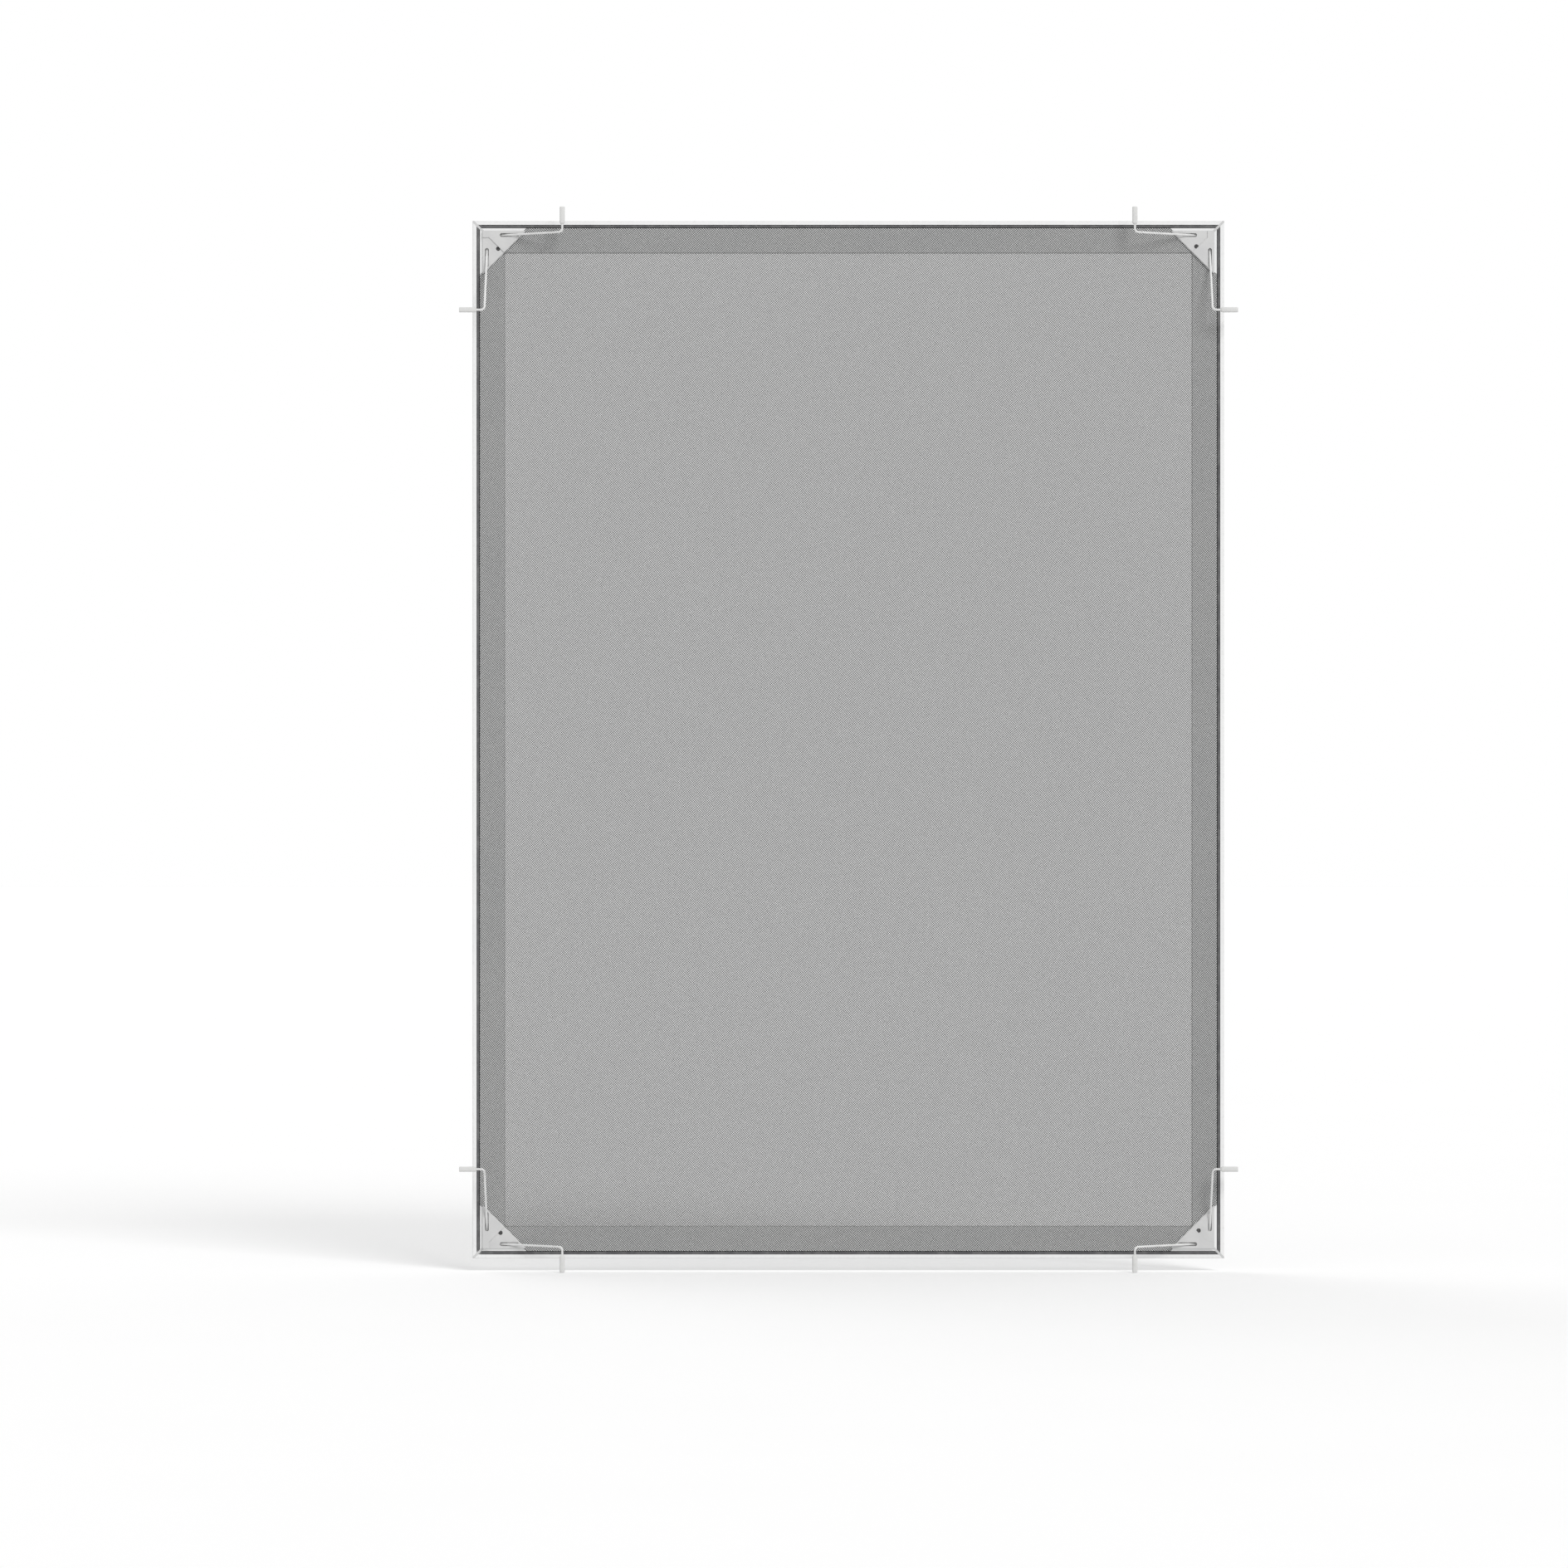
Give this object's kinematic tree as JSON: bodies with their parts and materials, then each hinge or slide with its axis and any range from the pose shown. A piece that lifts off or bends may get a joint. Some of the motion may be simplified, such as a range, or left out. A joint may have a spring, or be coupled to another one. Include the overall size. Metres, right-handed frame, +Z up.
{
  "type": "window insect screen",
  "caption": "Framed gauze screen with mitred bars, moulded corner plates and spring hooks with soft grips that reach over the lip of a window frame.",
  "frame": {"origin": "middle of the bottom bar's seat strip, on the face that seats on the window frame", "axes": "+Z up along the screen's height, +X to the right seen from the room, -Y towards the room"},
  "size_m": [0.842, 0.0366, 1.152],
  "materials": {
    "bar_coating": "white powder coat, satin",
    "corner_moulding": "white moulded plastic, fine grain",
    "hook_wire": "white coated spring wire",
    "grip_sleeve": "soft white sleeve, dull",
    "gauze": "grey coated glass-fibre gauze",
    "retaining_cord": "dark grey rubber"
  },
  "bodies": {
    "root": {"bar_top": "bar_coating", "bar_right": "bar_coating", "bar_bottom": "bar_coating", "bar_left": "bar_coating", "retaining_cord_top": "retaining_cord", "retaining_cord_right": "retaining_cord", "retaining_cord_bottom": "retaining_cord", "retaining_cord_left": "retaining_cord", "gauze": "gauze", "corner_top_left_raised": "corner_moulding", "corner_top_left_lower": "corner_moulding", "corner_top_right_raised": "corner_moulding", "corner_top_right_lower": "corner_moulding", "corner_bottom_right_raised": "corner_moulding", "corner_bottom_right_lower": "corner_moulding", "corner_bottom_left_raised": "corner_moulding", "corner_bottom_left_lower": "corner_moulding", "hook_top_left_on_top": "hook_wire", "hook_top_left_on_left": "hook_wire", "hook_top_right_on_right": "hook_wire", "hook_top_right_on_top": "hook_wire", "hook_bottom_right_on_bottom": "hook_wire", "hook_bottom_right_on_right": "hook_wire", "hook_bottom_left_on_left": "hook_wire", "hook_bottom_left_on_bottom": "hook_wire", "grip_top_left_on_top": "grip_sleeve", "grip_top_left_on_left": "grip_sleeve", "grip_top_right_on_right": "grip_sleeve", "grip_top_right_on_top": "grip_sleeve", "grip_bottom_right_on_bottom": "grip_sleeve", "grip_bottom_right_on_right": "grip_sleeve", "grip_bottom_left_on_left": "grip_sleeve", "grip_bottom_left_on_bottom": "grip_sleeve"}
  },
  "joints": []
}
